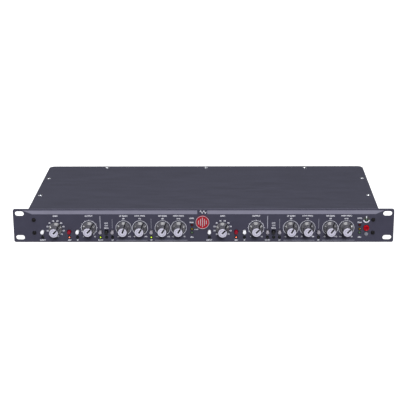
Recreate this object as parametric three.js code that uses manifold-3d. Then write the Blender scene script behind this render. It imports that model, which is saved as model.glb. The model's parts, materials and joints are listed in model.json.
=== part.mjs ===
// Two-channel microphone preamp with equaliser: a 19-inch, one-unit rack case.
// Millimetres, +Z up, front facing -Y. The parts are laid out from the panel's front face (y = 0),
// middle (x = 0) and lower edge (z = 0); the outermost group then centres the whole unit in Y.

import * as THREE from "three";
import { mergeVertices } from "three/addons/utils/BufferGeometryUtils.js";
import Module from "manifold-3d";

const wasm = await Module();
wasm.setup();

// ---------------------------------------------------------------- driving dimensions

const CLEAR = 0.3; // gap between neighbouring pieces
const SEATED = 0.1; // gap under a screw head or badge

const PANEL = { width: 482.6, height: 44, thickness: 3, corner: 2.5, rebate: 0.3 };
const RACK_SLOT = { length: 11.4, height: 6.4, spanX: 466.2, spanZ: 31.75 };

const CASE = { width: 443.6, front: 3, rear: 201, corner: 8, sheet: 2.5, height: 41.5, flange: 12 };
const LID = { bottom: CASE.height + CLEAR, thickness: 1.5, holeRadius: 1.7 };
const LID_SCREWS = [
  [-215, 61.5], [215, 61.5], [-215, 139.5], [215, 139.5], [-139.5, 192.5], [0, 192.5], [139.5, 192.5],
];
const EAR = { inner: 211.3, thickness: 1.5 };
const PANEL_SCREW = { x: 215, heights: [12.6, 29.75], headRadius: 2.7, headHeight: 1.6, shankRadius: 1.5 };

const CHANNEL_PITCH = 212.4;
const CHANNELS = [0, CHANNEL_PITCH]; // x offset of each channel's controls

// name, x in channel 1, z of the axis, pointer angles in channels 1 and 2 (degrees clockwise from the top)
const DIALS = [
  { name: "gain", x: -187.7, z: 18.15, pointer: [45, 45], caseSide: 22 },
  { name: "output", x: -145.1, z: 19, pointer: [44, 45], caseSide: 14 },
  { name: "low_gain", x: -101.1, z: 19, pointer: [20, 30], caseSide: 14 },
  { name: "low_freq", x: -80.2, z: 19, pointer: [34, 38], caseSide: 14 },
  { name: "high_gain", x: -51.35, z: 19, pointer: [35, 37], caseSide: 14 },
  { name: "high_freq", x: -31.05, z: 19, pointer: [32, 44], caseSide: 14 },
];
const KNOB = { front: 19.4, capRadius: 5.45, waist: 5.3, lift: 0.6, bore: 3.2, nutRoom: 6.2 };
const SKIRT = { radius: 8.6, height: 1.6, curve: 12.8, slopes: [10, 42] }; // slopes in degrees
const SHAFT = { radius: 3, front: -16.7, rear: 14 };
const BUSHING = { radius: 4.4, bore: 3.3, front: -2.4, hole: 4.8 };

// name, x in channel 1 and cap colour
const BUTTONS = [
  { name: "input", x: -204.5, color: 0xf2f2f4 },
  { name: "phantom", x: -170.45, color: 0xaa0f28 },
  { name: "polarity", x: -160, color: 0xf2f2f4 },
  { name: "eq", x: -130.75, color: 0x9b96a0 },
  { name: "filter", x: -123, color: 0x17171b },
  { name: "low_shelf", x: -115.45, color: 0x9b96a0 },
  { name: "high_shelf", x: -66, color: 0x9b96a0 },
];
const BUTTON = { z: 13.95, radius: 2.2, front: 5.4, hole: 2.75, stem: 1.2, stemEnd: 12 };
const STATUS_LED = { z: 6.5, hole: 1.6 };
const METER = { x: -14.2, heights: [22.9, 17.5, 12.8], hole: 1.6 };

const BOARD = { front: 17, thickness: 1.6, left: -209.5, right: -10.5, bottom: 4, top: 36.5 };
const SWITCH = { front: 9, side: 6.6, bore: 1.5, boreEnd: 15 };

const POWER = { x: 206.5, button: 19, radius: 3.4, front: 2.4, hole: 3.8 };
const POWER_LIGHTS = [{ z: 29.7, hole: 1.4, sides: 6 }, { z: 10.9, hole: 2.6, sides: 12 }]; // LED, lens
const BADGE = { x: -0.8, z: 26.8, radius: 8.75, front: 1.7, recess: 0.5, recessRadius: 9 };

const REAR = { inner: 196.2, outer: 198.2, halfWidth: 211.5, bottom: 2.8, top: 38.7, axis: 21 };
const REAR_WINDOW = 203; // half the width of the opening in the case's rear wall
const FLANGE = { front: REAR.outer + CLEAR, thickness: 2 };
const REAR_CHANNELS = [0, 130]; // x offset of each channel's rear connectors
const XLR = { width: 26, height: 31, barrel: 11.7, hole: 12.1, depth: 22, female: -180, male: -145 };
const XLR_PINS = [[-4.76, 0], [4.76, 0], [0, -4.76]];
const JACK = { x: -117, side: 14, length: 20, nose: 4.4, bore: 3.25, hole: 4.9, end: 201.5 };
const INLET = { x: 178, width: 48, height: 24, thickness: 3, body: [27.2, 19.6], cavity: [24.2, 16.4] };

const MAIN_BOARD = { left: -205, right: 100, front: 24, rear: 170, bottom: 8, thickness: 1.6 };
const TRANSFORMER = { x: 150, y: 112, outer: 40, inner: 12, bottom: 2.8, height: 32 };

// ---------------------------------------------------------------- materials

const material = (color, roughness, metalness = 0) =>
  new THREE.MeshStandardMaterial({ color, roughness, metalness });

const anthracite = material(0x44434e, 0.55, 0.35);
const caseGrey = material(0x484852, 0.6, 0.35);
const blackPlastic = material(0x141417, 0.25);
const steel = material(0xb9bcc2, 0.3, 0.9);
const blackSteel = material(0x1b1b1e, 0.35, 0.6);
const boardGreen = material(0x1d4a32, 0.6);
const redEnamel = material(0xb01828, 0.25);
const windingTape = material(0xb08a2c, 0.5);

// ---------------------------------------------------------------- shape helpers

// A three.js geometry as a closed solid that can be joined and cut.
function solid(geometry) {
  const bare = geometry.clone();
  bare.deleteAttribute("normal");
  bare.deleteAttribute("uv");
  const merged = mergeVertices(bare, 1e-4);
  return new wasm.Manifold(
    new wasm.Mesh({
      numProp: 3,
      vertProperties: new Float32Array(merged.attributes.position.array),
      triVerts: new Uint32Array(merged.index.array),
    }),
  );
}

function meshOf(name, manifold, surface) {
  const { vertProperties, triVerts } = manifold.getMesh();
  const geometry = new THREE.BufferGeometry();
  geometry.setAttribute("position", new THREE.BufferAttribute(vertProperties, 3));
  geometry.setIndex(new THREE.BufferAttribute(triVerts, 1));
  geometry.computeVertexNormals();
  const mesh = new THREE.Mesh(geometry, surface);
  mesh.name = name;
  return mesh;
}

const joined = (pieces) => pieces.reduce((whole, piece) => whole.add(piece));
const cutBy = (whole, tools) => tools.reduce((rest, tool) => rest.subtract(tool), whole);

// Box from its two opposite corners.
function block([x0, y0, z0], [x1, y1, z1]) {
  const geometry = new THREE.BoxGeometry(x1 - x0, y1 - y0, z1 - z0);
  return solid(geometry.translate((x0 + x1) / 2, (y0 + y1) / 2, (z0 + z1) / 2));
}

// Round bar along Y, between two depths.
function barY(x, z, radius, y0, y1, sides = 16) {
  const geometry = new THREE.CylinderGeometry(radius, radius, y1 - y0, sides);
  return solid(geometry.translate(x, (y0 + y1) / 2, z));
}

// Round bar along Z, between two heights.
function barZ(x, y, radius, z0, z1, sides = 16) {
  const geometry = new THREE.CylinderGeometry(radius, radius, z1 - z0, sides).rotateX(Math.PI / 2);
  return solid(geometry.translate(x, y, (z0 + z1) / 2));
}

// Turned solid about the Y axis; the profile is [radius, y] pairs with y rising, ends on the axis.
function turned(profile, sides) {
  return solid(new THREE.LatheGeometry(profile.map(([r, y]) => new THREE.Vector2(r, y)), sides));
}

function roundedRectangle(width, height, radius, steps = 4) {
  const points = [];
  const corners = [[1, 1], [-1, 1], [-1, -1], [1, -1]];
  corners.forEach(([sx, sz], quarter) => {
    for (let i = 0; i <= steps; i++) {
      const angle = (quarter + i / steps) * (Math.PI / 2);
      points.push(new THREE.Vector2(
        sx * (width / 2 - radius) + radius * Math.cos(angle),
        sz * (height / 2 - radius) + radius * Math.sin(angle),
      ));
    }
  });
  return new THREE.Shape(points);
}

function ringPath(x, z, radius, sides, stretch = 0) {
  const points = [];
  for (let i = 0; i < sides; i++) {
    const angle = ((i + 0.5) / sides) * Math.PI * 2;
    const side = Math.sign(Math.cos(angle)) * (stretch / 2);
    points.push(new THREE.Vector2(x + side + radius * Math.cos(angle), z + radius * Math.sin(angle)));
  }
  return new THREE.Path(points);
}

// Flat plate standing in the XZ plane, from depth y0 back to y1.
function plateXZ(shape, y0, y1) {
  const geometry = new THREE.ExtrudeGeometry(shape, { depth: y1 - y0, bevelEnabled: false });
  return solid(geometry.rotateX(Math.PI / 2).translate(0, y1, 0));
}

// Case outline seen from above, drawn in by an inset; the front edge can be moved forward.
function caseOutline(inset, front) {
  const half = CASE.width / 2 - inset;
  const rear = CASE.rear - inset;
  const radius = Math.max(CASE.corner - inset, 0.5);
  const points = [[-half, front], [half, front]];
  for (const side of [1, -1]) {
    for (let i = 0; i <= 6; i++) {
      const turn = ((side === 1 ? i : 6 - i) / 6) * (Math.PI / 2);
      points.push([
        side * (half - radius + radius * Math.cos(turn)),
        rear - radius + radius * Math.sin(turn),
      ]);
    }
  }
  return new THREE.Shape(points.map(([x, y]) => new THREE.Vector2(x, y)));
}

function caseSlab(inset, front, z0, z1) {
  const shape = caseOutline(inset, front);
  const geometry = new THREE.ExtrudeGeometry(shape, { depth: z1 - z0, bevelEnabled: false });
  return solid(geometry.translate(0, 0, z0));
}

// ---------------------------------------------------------------- front panel

function frontPanel() {
  const shape = roundedRectangle(PANEL.width, PANEL.height, PANEL.corner);
  const hole = (x, z, radius, sides, stretch) =>
    shape.holes.push(ringPath(x, z - PANEL.height / 2, radius, sides, stretch));

  for (const sx of [-1, 1]) {
    for (const sz of [-1, 1]) {
      hole((sx * RACK_SLOT.spanX) / 2, PANEL.height / 2 + (sz * RACK_SLOT.spanZ) / 2,
        RACK_SLOT.height / 2, 16, RACK_SLOT.length - RACK_SLOT.height);
    }
    for (const z of PANEL_SCREW.heights) {
      hole(sx * PANEL_SCREW.x, z, PANEL_SCREW.shankRadius + CLEAR, 8);
    }
  }
  for (const offset of CHANNELS) {
    for (const dial of DIALS) hole(dial.x + offset, dial.z, BUSHING.hole, 10);
    for (const button of BUTTONS) {
      hole(button.x + offset, BUTTON.z, BUTTON.hole, 10);
      hole(button.x + offset, STATUS_LED.z, STATUS_LED.hole, 6);
    }
    for (const z of METER.heights) hole(METER.x + offset, z, METER.hole, 6);
  }
  hole(POWER.x, POWER.button, POWER.hole, 16);
  for (const light of POWER_LIGHTS) hole(POWER.x, light.z, light.hole, light.sides);

  const plate = plateXZ(shape, 0, PANEL.thickness).translate([0, 0, PANEL.height / 2]);
  // the back is cut down where the case meets it, which leaves the two mounting ears proud
  const half = CASE.width / 2 + CLEAR;
  const rebate = block([-half, PANEL.thickness - PANEL.rebate, -1], [half, PANEL.thickness + 1, 50]);
  const recess = barY(BADGE.x, BADGE.z, BADGE.recessRadius, -1, BADGE.recess, 24);
  return meshOf("front_panel", cutBy(plate, [rebate, recess]), anthracite);
}

function panelScrew(name) {
  const { headRadius: head, headHeight: height, shankRadius: shank } = PANEL_SCREW;
  const screw = turned([
    [0, -height - SEATED], [head * 0.55, -height - SEATED], [head * 0.9, -height * 0.6 - SEATED],
    [head, -SEATED], [shank, -SEATED], [shank, 8], [0, 8],
  ], 12);
  const socket = barY(0, 0, 1.15, -height - 1, -height + 0.8, 6);
  return meshOf(name, screw.subtract(socket), blackSteel);
}

function badge() {
  const { radius, front, recess } = BADGE;
  const disc = turned([
    [0, -front], [radius - 1.6, -front], [radius - 1.4, -front - 0.2], [radius - 0.4, -front - 0.2],
    [radius, -front + 0.3], [radius, recess - SEATED], [0, recess - SEATED],
  ], 24);
  const mesh = meshOf("badge", disc, redEnamel);
  mesh.position.set(BADGE.x, 0, BADGE.z);
  return mesh;
}

// ---------------------------------------------------------------- controls

// Hollow curve that widens from a knob's waist down to the edge of its skirt.
function skirtCurve(edge) {
  const { curve, slopes: [first, last] } = SKIRT;
  const slope = (i) => THREE.MathUtils.degToRad(first + ((last - first) * i) / 4);
  return [0, 1, 2, 3, 4].map((i) => [
    KNOB.waist + curve * (Math.cos(slope(0)) - Math.cos(slope(i))),
    edge - curve * (Math.sin(slope(4)) - Math.sin(slope(i))),
  ]);
}

function knob(name, angle) {
  const { front, capRadius: cap, lift, bore, nutRoom } = KNOB;
  const edge = -lift - SKIRT.height;
  const body = turned([
    [0, -front], [cap, -front], ...skirtCurve(edge), [SKIRT.radius, edge + 0.2], [SKIRT.radius, -lift],
    [nutRoom, -lift], [nutRoom, -lift - 2.3], [bore, -lift - 2.3], [bore, -17], [0, -17],
  ], 16);
  const pointer = block([-0.6, -front - 1, 0.4], [0.6, -front + 0.4, cap + 2]);
  const mesh = meshOf(name, body.subtract(pointer), blackPlastic);
  mesh.rotation.y = THREE.MathUtils.degToRad(angle);
  return mesh;
}

function shaft(name) {
  return meshOf(name, barY(0, 0, SHAFT.radius, SHAFT.front, SHAFT.rear, 10), steel);
}

function pushButton(name, color) {
  const { radius, front, stem, stemEnd } = BUTTON;
  const cap = turned([
    [0, -front], [radius - 0.5, -front], [radius, -front + 0.5], [radius, 5.5],
    [stem, 5.5], [stem, stemEnd], [0, stemEnd],
  ], 10);
  return meshOf(name, cap, material(color, 0.3));
}

function powerButton() {
  const { radius, front } = POWER;
  const cap = turned([
    [0, 0.7 - front], [radius - 1.2, 0.4 - front], [radius - 0.4, -front], [radius, 0.4 - front],
    [radius, 5.5],
    [BUTTON.stem, 5.5], [BUTTON.stem, BUTTON.stemEnd], [0, BUTTON.stemEnd],
  ], 12);
  return meshOf("power_button", cap, material(0xcd0a14, 0.15));
}

// One channel's circuit board with its pots, switches and threaded bushings.
function controlBoard(name) {
  const back = BOARD.front + BOARD.thickness;
  const parts = [block([BOARD.left, BOARD.front, BOARD.bottom], [BOARD.right, back, BOARD.top])];
  const bores = [];
  for (const { x, z, caseSide } of DIALS) {
    const half = caseSide / 2;
    parts.push(block([x - half, SWITCH.front, z - half], [x + half, BOARD.front + 0.2, z + half]));
    parts.push(barY(x, z, BUSHING.radius, BUSHING.front, SWITCH.front + 0.2, 10));
    bores.push(barY(x, z, BUSHING.bore, BUSHING.front - 1, SHAFT.rear + 0.5, 10));
  }
  for (const { x } of BUTTONS) {
    const half = SWITCH.side / 2;
    parts.push(block([x - half, SWITCH.front, BUTTON.z - half],
      [x + half, BOARD.front + 0.2, BUTTON.z + half]));
    bores.push(barY(x, BUTTON.z, SWITCH.bore, SWITCH.front - 1, SWITCH.boreEnd, 10));
  }
  return meshOf(name, cutBy(joined(parts), bores), boardGreen);
}

function powerSwitch() {
  const { x, button } = POWER;
  const front = BOARD.front + 2;
  const body = block([x - 4, SWITCH.front, button - 5], [x + 4, front, button + 5]);
  const board = block([x - 4, front - 0.2, 6], [x + 4, front + BOARD.thickness, 34]);
  const bore = barY(x, button, SWITCH.bore, SWITCH.front - 1, SWITCH.boreEnd, 12);
  return meshOf("power_switch", body.add(board).subtract(bore), boardGreen);
}

// ---------------------------------------------------------------- case

function chassisTray() {
  const { sheet, front, height, flange, width, rear } = CASE;
  const ahead = front - 10;
  let tray = caseSlab(0, front, 0, height).subtract(caseSlab(sheet, ahead, sheet, height + 1));
  tray = tray.add(caseSlab(0, front, height - sheet, height)
    .subtract(caseSlab(flange, ahead, 0, height + 1)));
  for (const side of [-1, 1]) {
    const [x0, x1] = [side * EAR.inner, side * (width / 2)].sort((a, b) => a - b);
    tray = tray.add(block([x0, front, 0], [x1, front + EAR.thickness, height]));
  }
  const holes = LID_SCREWS.map(([x, y]) => barZ(x, y, LID.holeRadius, height - 4, height + 1, 8));
  for (const side of [-1, 1]) {
    for (const z of PANEL_SCREW.heights) {
      holes.push(barY(side * PANEL_SCREW.x, z, PANEL_SCREW.shankRadius + CLEAR, 0, 6, 8));
    }
  }
  holes.push(block([-REAR_WINDOW, rear - sheet, sheet], [REAR_WINDOW, rear + 1, height - sheet]));
  return meshOf("chassis_tray", cutBy(tray, holes), caseGrey);
}

function topCover() {
  const { bottom, thickness, holeRadius } = LID;
  const sheet = caseSlab(0, CASE.front, bottom, bottom + thickness);
  const holes = LID_SCREWS.map(([x, y]) => barZ(x, y, holeRadius, bottom - 1, bottom + 3, 8));
  return meshOf("top_cover", cutBy(sheet, holes), caseGrey);
}

function rearPanel() {
  const { inner, outer, halfWidth, bottom, top, axis } = REAR;
  const plate = block([-halfWidth, inner, bottom], [halfWidth, outer, top]);
  const round = (x, radius) => barY(x, axis, radius, inner - 1, outer + 1, 20);
  const holes = [];
  for (const offset of REAR_CHANNELS) {
    holes.push(round(XLR.female + offset, XLR.hole), round(XLR.male + offset, XLR.hole));
    holes.push(round(JACK.x + offset, JACK.hole));
  }
  const [w, h] = INLET.body.map((side) => side / 2 + CLEAR);
  holes.push(block([INLET.x - w, inner - 1, axis - h], [INLET.x + w, outer + 1, axis + h]));
  return meshOf("rear_panel", cutBy(plate, holes), caseGrey);
}

// ---------------------------------------------------------------- rear connectors

// Square flange with a round barrel behind it, about its own axis; both XLR connectors start here.
function xlrShell() {
  const shape = roundedRectangle(XLR.width, XLR.height, 3, 2);
  shape.holes.push(ringPath(-9.5, 12, 1.6, 8), ringPath(9.5, -12, 1.6, 8));
  const face = FLANGE.front + FLANGE.thickness;
  return plateXZ(shape, FLANGE.front, face)
    .add(barY(0, 0, XLR.barrel, face - XLR.depth, FLANGE.front + 0.2, 20));
}

function micInput(name) {
  const face = FLANGE.front + FLANGE.thickness;
  const groove = barY(0, 0, 9.7, face - 10, face + 1, 20)
    .subtract(barY(0, 0, 7.9, face - 11, face + 2, 20));
  const contacts = XLR_PINS.map(([x, z]) => barY(x, z, 1.4, face - 9, face + 1, 8));
  const latch = block([-3.5, face - 0.2, 10.4], [3.5, face + 1.5, 14.4]);
  return meshOf(name, cutBy(xlrShell(), [groove, ...contacts]).add(latch), blackSteel);
}

function lineOutput(name) {
  const face = FLANGE.front + FLANGE.thickness;
  const cavity = barY(0, 0, 9.5, face - 14, face + 1, 20);
  const pins = XLR_PINS.map(([x, z]) => barY(x, z, 1.2, face - 14.2, face - 2, 8));
  return meshOf(name, joined([xlrShell().subtract(cavity), ...pins]), blackSteel);
}

function outputJack(name) {
  const { side, length, nose, bore, end } = JACK;
  const back = REAR.inner - CLEAR;
  const body = block([-side / 2, back - length, -side / 2], [side / 2, back, side / 2]);
  const sleeve = barY(0, 0, nose, back - 0.2, end, 16);
  const socket = barY(0, 0, bore, back - length + 2, end + 1, 16);
  return meshOf(name, body.add(sleeve).subtract(socket), blackPlastic);
}

function powerInlet() {
  const { width, height, thickness, body, cavity } = INLET;
  const depth = 15;
  const face = FLANGE.front + thickness;
  const shape = roundedRectangle(width, height, 5, 3);
  shape.holes.push(ringPath(-20, 0, 1.7, 8), ringPath(20, 0, 1.7, 8));
  const [bw, bh] = body.map((side) => side / 2);
  const [cw, ch] = cavity.map((side) => side / 2);
  const shell = plateXZ(shape, FLANGE.front, face)
    .add(block([-bw, face - 26, -bh], [bw, FLANGE.front + 0.2, bh]))
    .subtract(block([-cw, face - depth, -ch], [cw, face + 1, ch]));
  const blades = [[-7, -1], [7, -1], [0, 3]].map(([x, z]) =>
    block([x - 1, face - depth - 0.2, z - 2], [x + 1, face - 2, z + 2]));
  return meshOf("power_inlet", joined([shell, ...blades]), blackPlastic);
}

// ---------------------------------------------------------------- inside

function mainBoard() {
  const { left, right, front, rear, bottom, thickness } = MAIN_BOARD;
  const top = bottom + thickness;
  const parts = [block([left, front, bottom], [right, rear, top])];
  for (const x of [-190, -52, 85]) { // spacers
    for (const y of [40, 155]) parts.push(barZ(x, y, 3, CASE.sheet + CLEAR, bottom + 0.2, 8));
  }
  const chip = (x, y, w, d, h) =>
    parts.push(block([x - w / 2, y - d / 2, top - 0.2], [x + w / 2, y + d / 2, top + h]));
  const can = (x, y, radius, h) => parts.push(barZ(x, y, radius, top - 0.2, top + h, 8));
  for (const offset of [-150, 0]) {
    can(offset - 28, 145, 12, 22); // input transformer
    can(offset + 8, 145, 12, 22); // output transformer
    for (let i = 0; i < 4; i++) chip(offset - 36 + i * 22, 60, 10, 7, 3.5); // amplifiers
    for (let i = 0; i < 4; i++) chip(offset - 36 + i * 22, 85, 15, 8, 9); // relays
    for (let i = 0; i < 4; i++) can(offset - 36 + i * 22, 112, 5, 12); // capacitors
  }
  for (let i = 0; i < 3; i++) can(72, 60 + i * 22, 8, 24); // reservoir capacitors
  chip(72, 150, 50, 12, 24); // heat sink
  return meshOf("main_board", joined(parts), boardGreen);
}

function powerTransformer() {
  const { x, y, outer, inner, bottom, height } = TRANSFORMER;
  const [low, high] = [bottom, bottom + height];
  const ring = [
    [inner, low + 3], [inner + 3, low], [outer - 6, low], [outer, low + 6], [outer, high - 6],
    [outer - 6, high], [inner + 3, high], [inner, high - 3], [inner, low + 3],
  ];
  const points = ring.map(([r, z]) => new THREE.Vector2(r, z));
  const core = solid(new THREE.LatheGeometry(points, 20).rotateX(Math.PI / 2)); // axis from Y to Z
  const mesh = meshOf("power_transformer", core, windingTape);
  mesh.position.set(x, y, 0);
  return mesh;
}

// ---------------------------------------------------------------- assembly

function at(mesh, x, y, z) {
  mesh.position.set(x, y, z);
  return mesh;
}

const preamp = new THREE.Group();
preamp.add(frontPanel(), badge(), chassisTray(), topCover(), rearPanel());
preamp.add(mainBoard(), powerTransformer(), powerSwitch());
preamp.add(at(powerButton(), POWER.x, 0, POWER.button));

let screwNumber = 0;
for (const side of [-1, 1]) {
  for (const z of PANEL_SCREW.heights) {
    screwNumber += 1;
    preamp.add(at(panelScrew(`front_panel_screw_${screwNumber}`), side * PANEL_SCREW.x, 0, z));
  }
}

CHANNELS.forEach((offset, index) => {
  const number = index + 1;
  const channel = new THREE.Group();
  channel.position.x = offset;
  channel.add(controlBoard(`control_board_${number}`));
  for (const { name, x, z, pointer } of DIALS) {
    channel.add(at(knob(`${name}_knob_${number}`, pointer[index]), x, 0, z));
    channel.add(at(shaft(`${name}_shaft_${number}`), x, 0, z));
  }
  for (const { name, x, color } of BUTTONS) {
    channel.add(at(pushButton(`${name}_button_${number}`, color), x, 0, BUTTON.z));
  }
  preamp.add(channel);
});

REAR_CHANNELS.forEach((offset, index) => {
  const number = index + 1;
  preamp.add(at(micInput(`mic_input_${number}`), XLR.female + offset, 0, REAR.axis));
  preamp.add(at(lineOutput(`line_output_${number}`), XLR.male + offset, 0, REAR.axis));
  preamp.add(at(outputJack(`output_jack_${number}`), JACK.x + offset, 0, REAR.axis));
});
preamp.add(at(powerInlet(), INLET.x, 0, REAR.axis));

// centred in Y between the knob caps and the furthest rear connector
const rearmost = FLANGE.front + FLANGE.thickness + 1.5;
preamp.position.y = (KNOB.front - rearmost) / 2;
preamp.updateMatrixWorld(true);

export default preamp;
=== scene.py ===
import json
import math

import bmesh
import bpy
from mathutils import Matrix, Vector


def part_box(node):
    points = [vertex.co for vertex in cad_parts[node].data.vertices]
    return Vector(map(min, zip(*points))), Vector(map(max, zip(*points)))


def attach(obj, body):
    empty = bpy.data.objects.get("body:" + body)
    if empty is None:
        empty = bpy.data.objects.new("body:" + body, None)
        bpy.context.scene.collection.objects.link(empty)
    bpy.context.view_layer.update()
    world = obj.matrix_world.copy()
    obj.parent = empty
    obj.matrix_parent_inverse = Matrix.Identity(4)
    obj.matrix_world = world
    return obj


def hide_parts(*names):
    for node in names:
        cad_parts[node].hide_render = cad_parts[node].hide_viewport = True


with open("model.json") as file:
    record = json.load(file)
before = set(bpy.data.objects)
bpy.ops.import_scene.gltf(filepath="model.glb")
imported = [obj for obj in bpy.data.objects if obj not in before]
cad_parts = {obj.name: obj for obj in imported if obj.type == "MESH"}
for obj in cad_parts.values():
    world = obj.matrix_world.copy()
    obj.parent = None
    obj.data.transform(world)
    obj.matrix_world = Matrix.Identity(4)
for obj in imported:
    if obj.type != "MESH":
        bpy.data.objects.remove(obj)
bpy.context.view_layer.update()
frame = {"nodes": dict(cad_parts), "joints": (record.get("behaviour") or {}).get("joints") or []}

# Shapes are built in millimetres from the panel's front face (y = 0, rising towards the rear), the
# unit's middle (x = 0) and its foot (z = 0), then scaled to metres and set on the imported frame.
MM = 0.001
TAU = math.tau
FRONT_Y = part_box("front_panel")[0].y
PANEL_WIDTH = (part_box("front_panel")[1].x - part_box("front_panel")[0].x) / MM
PANEL_HEIGHT = (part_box("front_panel")[1].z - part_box("front_panel")[0].z) / MM
CASE = "case"

DIALS = ["gain", "output", "low_gain", "low_freq", "high_gain", "high_freq"]
BUTTONS = ["input", "phantom", "polarity", "eq", "filter", "low_shelf", "high_shelf"]
CHANNELS = (1, 2)


def middle(node):
    """(x, z) of a CAD node's middle in millimetres."""
    low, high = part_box(node)
    return (low.x + high.x) / 2 / MM, (low.z + high.z) / 2 / MM


def reach(node):
    """(front, rear) of a CAD node in millimetres behind the panel's front face."""
    low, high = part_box(node)
    return (low.y - FRONT_Y) / MM, (high.y - FRONT_Y) / MM


JOINTS = {joint["name"]: joint for joint in frame["joints"]}
CHANNEL_STEP = middle("gain_shaft_2")[0] - middle("gain_shaft_1")[0]


# ------------------------------------------------------------------ materials

def nodes_of(name):
    """A new material, its node tree and its surface shader."""
    material = bpy.data.materials.new(name)
    material.use_nodes = True
    tree = material.node_tree
    return material, tree, tree.nodes["Principled BSDF"]


def noise_node(tree, scale, detail=4.0, stretch=None):
    """A noise texture on the piece's own coordinates, in metres."""
    where = tree.nodes.new("ShaderNodeTexCoord")
    noise = tree.nodes.new("ShaderNodeTexNoise")
    noise.inputs["Scale"].default_value = scale
    noise.inputs["Detail"].default_value = detail
    source = where.outputs["Object"]
    if stretch:
        mapping = tree.nodes.new("ShaderNodeMapping")
        mapping.inputs["Scale"].default_value = stretch
        tree.links.new(source, mapping.inputs["Vector"])
        source = mapping.outputs["Vector"]
    tree.links.new(source, noise.inputs["Vector"])
    return noise.outputs["Fac"]


def tinted(tree, factor, colour, swing):
    """Base colour that drifts a little either side of its mean."""
    ramp = tree.nodes.new("ShaderNodeValToRGB")
    ramp.color_ramp.elements[0].position = 0.3
    ramp.color_ramp.elements[1].position = 0.7
    for element, gain in zip(ramp.color_ramp.elements, (1 - swing, 1 + swing)):
        element.color = (*[min(c * gain, 1.0) for c in colour], 1.0)
    tree.links.new(factor, ramp.inputs["Fac"])
    return ramp.outputs["Color"]


def spread(tree, factor, low, high):
    """A value that drifts between low and high as the factor does."""
    mapped = tree.nodes.new("ShaderNodeMapRange")
    mapped.inputs["From Min"].default_value = 0.3
    mapped.inputs["From Max"].default_value = 0.7
    mapped.inputs["To Min"].default_value = low
    mapped.inputs["To Max"].default_value = high
    tree.links.new(factor, mapped.inputs["Value"])
    return mapped.outputs["Result"]


def bumped(tree, height, strength, distance):
    """A surface normal that follows a fine relief; distance is in metres."""
    bump = tree.nodes.new("ShaderNodeBump")
    bump.inputs["Strength"].default_value = strength
    bump.inputs["Distance"].default_value = distance
    tree.links.new(height, bump.inputs["Height"])
    return bump.outputs["Normal"]


def finish(name, colour, roughness, metallic=0.0, grain=300.0, swing=0.08, rough_swing=0.04,
           bump=0.0, bump_grain=1500.0, bump_depth=0.00005, coat=0.0, stretch=None, specular=0.5):
    """A paint, plastic or metal with drifting colour, uneven gloss and a fine surface grain."""
    material, tree, shader = nodes_of(name)
    shader.inputs["Metallic"].default_value = metallic
    shader.inputs["Specular IOR Level"].default_value = specular
    shader.inputs["Coat Weight"].default_value = coat
    shader.inputs["Coat Roughness"].default_value = 0.08
    patch = noise_node(tree, grain, stretch=stretch)
    tree.links.new(tinted(tree, patch, colour, swing), shader.inputs["Base Color"])
    tree.links.new(spread(tree, patch, roughness - rough_swing, roughness + rough_swing),
                   shader.inputs["Roughness"])
    if bump:
        height = noise_node(tree, bump_grain, 2.0, stretch)
        tree.links.new(bumped(tree, height, bump, bump_depth), shader.inputs["Normal"])
    return material


def spun(name, colour, roughness, rings):
    """A turned face: fine rings round the Y axis through the piece's origin."""
    material, tree, shader = nodes_of(name)
    where = tree.nodes.new("ShaderNodeTexCoord")
    wave = tree.nodes.new("ShaderNodeTexWave")
    wave.wave_type = "RINGS"
    wave.rings_direction = "Y"
    wave.inputs["Scale"].default_value = rings
    wave.inputs["Distortion"].default_value = 0.4
    tree.links.new(where.outputs["Object"], wave.inputs["Vector"])
    patch = noise_node(tree, 500.0)
    tree.links.new(tinted(tree, patch, colour, 0.04), shader.inputs["Base Color"])
    tree.links.new(spread(tree, patch, roughness - 0.05, roughness + 0.05),
                   shader.inputs["Roughness"])
    tree.links.new(bumped(tree, wave.outputs["Fac"], 0.25, 0.00004), shader.inputs["Normal"])
    return material


def lamp(name, colour, glow=None, strength=0.0):
    """A coloured lens, lit from inside when strength is above 0."""
    material, tree, shader = nodes_of(name)
    patch = noise_node(tree, 900.0)
    tree.links.new(tinted(tree, patch, colour, 0.15), shader.inputs["Base Color"])
    tree.links.new(spread(tree, patch, 0.08, 0.16), shader.inputs["Roughness"])
    shader.inputs["Specular IOR Level"].default_value = 0.15
    if strength:
        tree.links.new(tinted(tree, patch, glow, 0.12), shader.inputs["Emission Color"])
        shader.inputs["Emission Strength"].default_value = strength
    return material


PANEL_PAINT = finish("panel_paint", (0.040, 0.039, 0.061), 0.5, grain=60, swing=0.06, bump=0.35,
                     specular=0.1)
# painted highlight: the panel's top face takes a lighter copy of the panel paint, for the light
# from above
PANEL_TOP_HIGHLIGHT = finish("panel_top_painted_highlight", (0.078, 0.077, 0.108), 0.45, grain=60, swing=0.06, bump=0.35,
                    specular=0.1)
CASE_PAINT = finish("case_paint", (0.047, 0.047, 0.067), 0.55, grain=160, swing=0.14, bump=0.5,
                    bump_grain=1100, bump_depth=0.00008, specular=0.12, stretch=(0.12, 1, 1))
BAND_PRINT = finish("band_print", (0.145, 0.141, 0.195), 0.42, grain=80, swing=0.04, bump=0.2)
WHITE_PRINT = finish("white_print", (0.60, 0.60, 0.67), 0.5, grain=400, swing=0.05)
LINE_PRINT = finish("line_print", (0.26, 0.26, 0.32), 0.5, grain=400, swing=0.05)
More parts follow.
